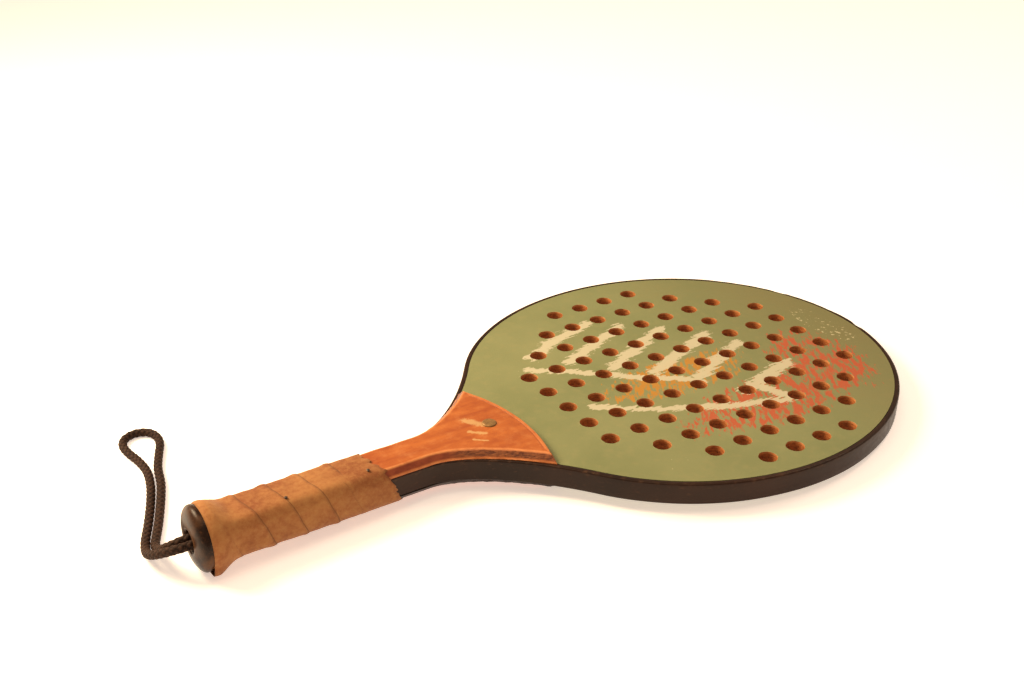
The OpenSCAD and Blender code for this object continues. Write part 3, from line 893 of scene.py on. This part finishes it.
def make_throat_board(name, material, node, up):
    """A bevelled board: a rounded foot and a slightly wavy crest, both with a painted highlight, rough end
    grain, and a groove by the fan with painted shade in it.
    """
    # from foot to crest and inwards: the share of the bevel's width, the share of the board's
    # height, how dark the wood is, and how much painted highlight it gets
    profile = ((0.0, 0.0, 0.3, 0.0), (0.0, 0.08, 0.1, 0.4), (0.12, 0.16, 0.3, 0.5), (0.28, 0.32, 1.0, 0.0),
               (0.45, 0.50, 1.0, 0.0), (0.62, 0.68, 1.0, 0.0), (0.76, 0.82, 0.9, 0.0), (0.88, 0.93, 0.2, 0.7),
               (1.02, 0.99, 0.0, 1.0), (1.15, 1.0, 0.0, 0.5), (1.35, 1.0, 0.0, 0.0), (1.55, 1.0, 0.0, 0.0),
               (1.75, 1.0, 0.0, 0.0), (1.95, 1.0, 0.0, 0.0), (2.2, 1.0, 0.0, 0.0))
    side_steps = 110
    points, bevel, painted_highlight, grain = [], [], [], []
    for share, rise, dark, light in profile:
        ring = board_ring(share * BEVEL_W, share * FAN_BEVEL_W, side_steps)
        count = len(ring)
        on_arc = np.zeros(count)
        on_arc[side_steps:-side_steps] = 1
        slope = smoothstep(-92, -74, ring[:, 0]) * (1 - on_arc)
        seen = rise if rise < 0.95 else 0
        rough = smooth_noise(np.column_stack([ring, np.full(count, share * 9)]), 2.4, 31)
        rough = rough * 0.42 * slope * (seen > 0)
        groove = 0.3 * on_arc * math.exp(-((share - 1.75) / 0.14) ** 2)
        wave = 0.10 * smooth_noise(ring, 14, 32) * (0.9 < rise) * (share < 1.2)
        ring = ring + way_in(ring) * rough[:, None]
        points.append(np.column_stack([ring, HALF_T + SCALE_T * rise + wave - groove]))
        # the groove by the fan is darkened as painted shade
        bevel.append(np.full(count, dark) * (1 - 0.5 * on_arc) + 0.35 * (groove > 0.1))
        # painted highlight along the crest and foot, and a line of it along the fan's arc
        painted_highlight.append(np.full(count, light) + 0.4 * on_arc * (1.3 < share < 1.6))
        grain.append(slope * (dark > 0.5))
    faces = grid_faces(len(points), count, close_cols=True)
    top = (len(points) - 1) * count
    faces += [tuple(i + top for i in face) for face in fill([points[-1][:, :2]])]
    faces += fill([points[0][:, :2]])
    points = np.concatenate(points)
    points[:, 2] *= up
    marks = {"bevel": np.clip(np.concatenate(bevel), 0, 1), "painted_highlight": np.clip(np.concatenate(painted_highlight), 0, 1),
             "end_grain": np.concatenate(grain),
             # where the bottom board's bevels get painted shade
             "underside_shade_zone": np.repeat([share < 1.4 for share, *_ in profile], count).astype(float)}
    board = new_piece(name, points, faces, material, nodes=[node], marks=marks)
    sharpen(board, 40)


# ---- metal pieces ----

def make_turned(name, profile, at, material, nodes, up=1, steps=48):
    """A small turned piece, set on the racket at a point with its height along +Z or -Z."""
    points, faces = lathe(profile, steps)
    points = points * [1, 1, up] + np.asarray(at, float)
    piece = new_piece(name, points, faces, material, nodes=nodes)
    sharpen(piece, 35)
    return piece


def make_rivet():
    r = RIVET_HEAD_D / 2
    top = HANDLE_HALF_T
    foot = -HANDLE_HALF_T - WASHER_T
    head = [(0, top + 0.78), (1.4, top + 0.80), (1.7, top + 0.88), (r - 0.9, top + RIVET_HEAD_H),
            (r - 0.4, top + 0.78), (r - 0.08, top + 0.45), (r, top + 0.05), (RIVET_D / 2, top - 0.05)]
    tail = [(RIVET_D / 2, foot), (2.7, foot - 0.05), (2.6, foot - 0.5), (1.9, foot - 0.85), (0, foot - 0.9)]
    brass = brass_material("rivet_brass", (0.30, 0.165, 0.055))
    make_turned("domed_rivet", head + tail, (RIVET_X, 0, 0), brass, ["throat_rivet"])
    washer = [(RIVET_D / 2, 0), (r - 0.2, 0), (r, 0.2), (r - 0.15, WASHER_T - 0.15), (r - 0.4, WASHER_T),
              (RIVET_D / 2 + 0.7, WASHER_T), (RIVET_D / 2, WASHER_T), (RIVET_D / 2, 0)]
    under = (RIVET_X, 0, -HANDLE_HALF_T)
    make_turned("rivet_burr", washer, under, brass, ["rivet_washer"], up=-1)


# ---- the grip ----

def handle_radius(angle, grown, hardness):
    """Distance from the axis to the handle's eight-sided section, at an angle from +Y.

    Leather rounds the corners over, and less so the higher the hardness.
    """
    flat_w = HANDLE_W / 2 - BEVEL_W + 0.45 * grown
    side_t = HALF_T + 0.45 * grown
    w, t = HANDLE_W / 2 + grown, HANDLE_HALF_T + grown
    c, s = np.abs(np.cos(angle)), np.abs(np.sin(angle))
    run = np.array([w - flat_w, t - side_t])
    normal = np.array([run[1], run[0]]) / np.hypot(*run)
    reach = normal @ [w, side_t]
    bevel = reach / (normal[0] * c + normal[1] * s)
    sides = np.stack([w / np.maximum(c, 1e-9), t / np.maximum(s, 1e-9), bevel])
    return np.power(np.sum(np.power(sides, -hardness), 0), -1 / hardness)


def grip_radius(x, angle, grown, hardness):
    """The wood's section along the grip, flared to the butt's circle."""
    plain = handle_radius(angle, grown, hardness)
    flare = smoothstep(WOOD_END_X + 17, WOOD_END_X + 3.5, x)
    return plain + (BUTT_R - LEATHER_SKIN - 0.15 - plain) * flare


def butt_flap(x, angle):
    """How far the first turn's loose fold stands out, low on the near side of the butt."""
    off = (angle - LOOSE_FOLD_AT + math.pi) % (2 * math.pi) - math.pi
    return LOOSE_FOLD_OUT * np.exp(-(off / 0.28) ** 2) * (1 - smoothstep(WOOD_END_X, WOOD_END_X + 13, x))


def strip_edge(turn):
    """Where the strip's free edge lies: it leans, so that it runs faster down the near side."""
    middle = GRIP_END_X + LEATHER_OVERHANG + LEATHER_PITCH * (turn - 0.27)
    return middle - LEATHER_LEAN * np.cos(2 * math.pi * turn)


def make_leather_strip():
    """One strip wound from the throat's end to the butt, each turn's edge over the next.

    A turn's angle runs from the top down the near side, and the free edge's x grows with it.
    """
    turn = np.linspace(0.5 - LEATHER_TURNS, 0.5, 100 * LEATHER_TURNS)
    free_x = strip_edge(turn)
    ragged = smoothstep(-0.82, -0.55, turn)
    tears = torn_edge(turn * 56)
    end_x = free_x + 0.18 * smooth_noise(turn[:, None] * 60, 8.0, 21)
    end_x = np.maximum(end_x + tears * ragged, WOOD_END_X + 0.6)
    start_x = np.maximum(free_x - LEATHER_W, WOOD_END_X + 0.05)
    angle = math.pi / 2 + turn * 2 * math.pi
    shares = np.array([0, 0.06, 0.18, 0.32, 0.46, 0.6, 0.72, 0.8, 0.86, 0.92, 0.97, 1.0])
    outer, inner, seam_grime_and_shade = [], [], []
    for share in shares:
        x = start_x + (end_x - start_x) * share
        lap = smoothstep(free_x - (LEATHER_W - LEATHER_PITCH) - 2.5, free_x - 1.0, x)
        lift = lap * 0.6 * (1 - smoothstep(-1.05, -0.9, turn))
        lift = lift * (1 - 0.85 * smoothstep(WOOD_END_X + 22, WOOD_END_X + 9, x))
        fold = butt_flap(x, angle)
        skin_r = grip_radius(x, angle, 0.1, 14.0) + fold + LEATHER_SKIN
        at = np.stack([x, np.cos(angle) * 12, np.sin(angle) * 12], 1)
        pucker = 0.14 * smooth_noise(at, 9, 23) + 0.09 * smooth_noise(at, 3.5, 24)
        thin = 0.35 * smoothstep(0.93, 1.0, share) + 0.75 * (1 - smoothstep(0.1, 2.0, x - WOOD_END_X))
        outer.append(ring_point(x, skin_r + lift + pucker - thin, angle))
        inner.append(ring_point(x, grip_radius(x, angle, 0.1, 28.0) + fold + lift * 0.8 - 0.15, angle))
        # darkening along the free edge and, half as strong, along the edge under the next turn: grime, and
        # painted shade in the seams
        at_edge = smoothstep(0.95, 1.0, share) * (1 - 0.6 * ragged)
        seam_grime_and_shade.append(np.maximum(at_edge, 0.5 * smoothstep(0.06, 0.0, share) * np.ones(len(turn))))
    rows = np.stack(outer + inner[::-1], 1)
    # the strip's underside gets the full darkening
    marks = np.stack(seam_grime_and_shade + [np.ones(len(turn))] * len(inner), 1)
    count = rows.shape[1]
    points = rows.reshape(-1, 3)
    faces = grid_faces(len(turn), count, close_cols=True)
    faces.append(tuple(range(count)))
    faces.append(tuple(range(len(points) - 1, len(points) - count - 1, -1)))
    return points, faces, marks.ravel()


def torn_edge(run):
    """Steps and bites along a torn edge, in millimetres: long tears with short sharp ends."""
    long_tear = (run / 7.3) % 1.0
    short_tear = (run / 2.9 + 0.4) % 1.0
    return 2.2 * long_tear - 1.3 + 0.9 * short_tear + 0.5 * smooth_noise(run[:, None], 5.0, 22)


def ring_point(x, r, angle):
    return np.stack([x, r * np.cos(angle), r * np.sin(angle)], 1)


def make_grip():
    points, faces, seam_grime_and_shade = make_leather_strip()
    grip = new_piece("wound_leather_strip", points, faces, leather_material(),
                     nodes=["leather_grip"], marks={"edge": seam_grime_and_shade})
    sharpen(grip, 60)


def make_tacks():
    r = TACK_HEAD_D / 2
    profile = [(0, 0.5), (0.4, 0.48), (0.75, 0.38), (r, 0.1), (r - 0.1, 0), (0.6, -0.1), (0.6, -6.5), (0, -7)]
    metal = tack_material()
    all_points, all_faces = [], []
    for x, y in TACK_SPOTS:
        points, faces = lathe(profile, 24)
        shift = len(all_points) * len(points)
        all_faces += [tuple(i + shift for i in f) for f in faces]
        all_points.append(points + [x, y, HANDLE_HALF_T + LEATHER_T + 0.1])
    make = new_piece("grip_tack_heads", np.concatenate(all_points), all_faces, metal,
                     nodes=["grip_tacks"])
    sharpen(make, 35)


def make_butt_cap():
    """A domed cap, turned about the racket's axis, with a rolled mouth for the cord."""
    rim, steps = 1.5, 14
    lip_r = CAP_HOLE_R + 1.5
    dome = [(lip_r + (CAP_R - lip_r) * math.cos(t), rim + (CAP_H - rim) * math.sin(t))
            for t in np.linspace(0, math.pi / 2, steps)]
    lip = [(CAP_HOLE_R + 1.5 - 1.5 * math.sin(t), CAP_H - 1.5 + 1.5 * math.cos(t))
           for t in np.linspace(0, math.pi / 2, 7)[1:]]
    profile = [(CAP_HOLE_R, 0), (CAP_R - 0.3, 0), (CAP_R, 0.3), *dome, *lip, (CAP_HOLE_R, 0)]
    points, faces = lathe(profile, 96)
    turned = np.stack([WOOD_END_X - points[:, 2], points[:, 0], points[:, 1]], 1)
    dent = 0.12 * smooth_noise(turned, 16, 41)
    turned[:, 0] += dent * (points[:, 2] > rim)
    cap = new_piece("domed_butt_cap", turned, faces, cap_material(), nodes=["butt_cap"])
    sharpen(cap, 45)


# ---- carried-over CAD nodes ----

def finish_cad_nodes():
    """Materials for the CAD nodes whose shape stays as it is."""
    # the veneers are kept dark as painted shade inside the air holes
    light = veneer_material("veneer_light", (0.47, 0.165, 0.045), (0.24, 0.072, 0.020))
    warm = veneer_material("veneer_warm", (0.42, 0.140, 0.038), (0.20, 0.060, 0.017))
    nodes = {f"core_ply_{i}": (light if i % 2 else warm) for i in range(1, 8)}
    nodes.update(side_flare_blocks=light, face_flare_blocks=light, cord_knot=bpy.data.materials["cord"])
    for name, material in nodes.items():
        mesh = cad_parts[name].data
        mesh.materials.clear()
        mesh.materials.append(material)


def add_floor():
    size = 6.0
    mesh = bpy.data.meshes.new("floor")
    corners = [(-size, -size, 0), (size, -size, 0), (size, size, 0), (-size, size, 0)]
    mesh.from_pydata(corners, [], [(0, 1, 2, 3)])
    mesh.materials.append(floor_material())
    floor = bpy.data.objects.new("floor", mesh)
    bpy.context.scene.collection.objects.link(floor)


def make_racket():
    make_face_sheet("green_top_sheet", face_material("face_painted", True), "top_face", 1)
    make_face_sheet("green_bottom_sheet", face_material("face_plain", False), "bottom_face", -1)
    make_edge_band()
    top_wood = varnished_wood_material("throat_wood", shade_underside=False)
    # the bottom board's wood, with painted shade on its floor-facing bevels
    bottom_wood = varnished_wood_material("throat_wood_shaded_underside", shade_underside=True)
    make_throat_board("top_throat_board", top_wood, "top_scale", 1)
    make_throat_board("bottom_throat_board", bottom_wood, "bottom_scale", -1)
    make_rivet()
    make_grip()
    make_tacks()
    make_butt_cap()
    finish_cad_nodes()


bpy.context.scene.view_settings.view_transform = "Standard"
add_camera()
make_wrist_cord()
add_floor()
add_lights()
add_world()
make_racket()
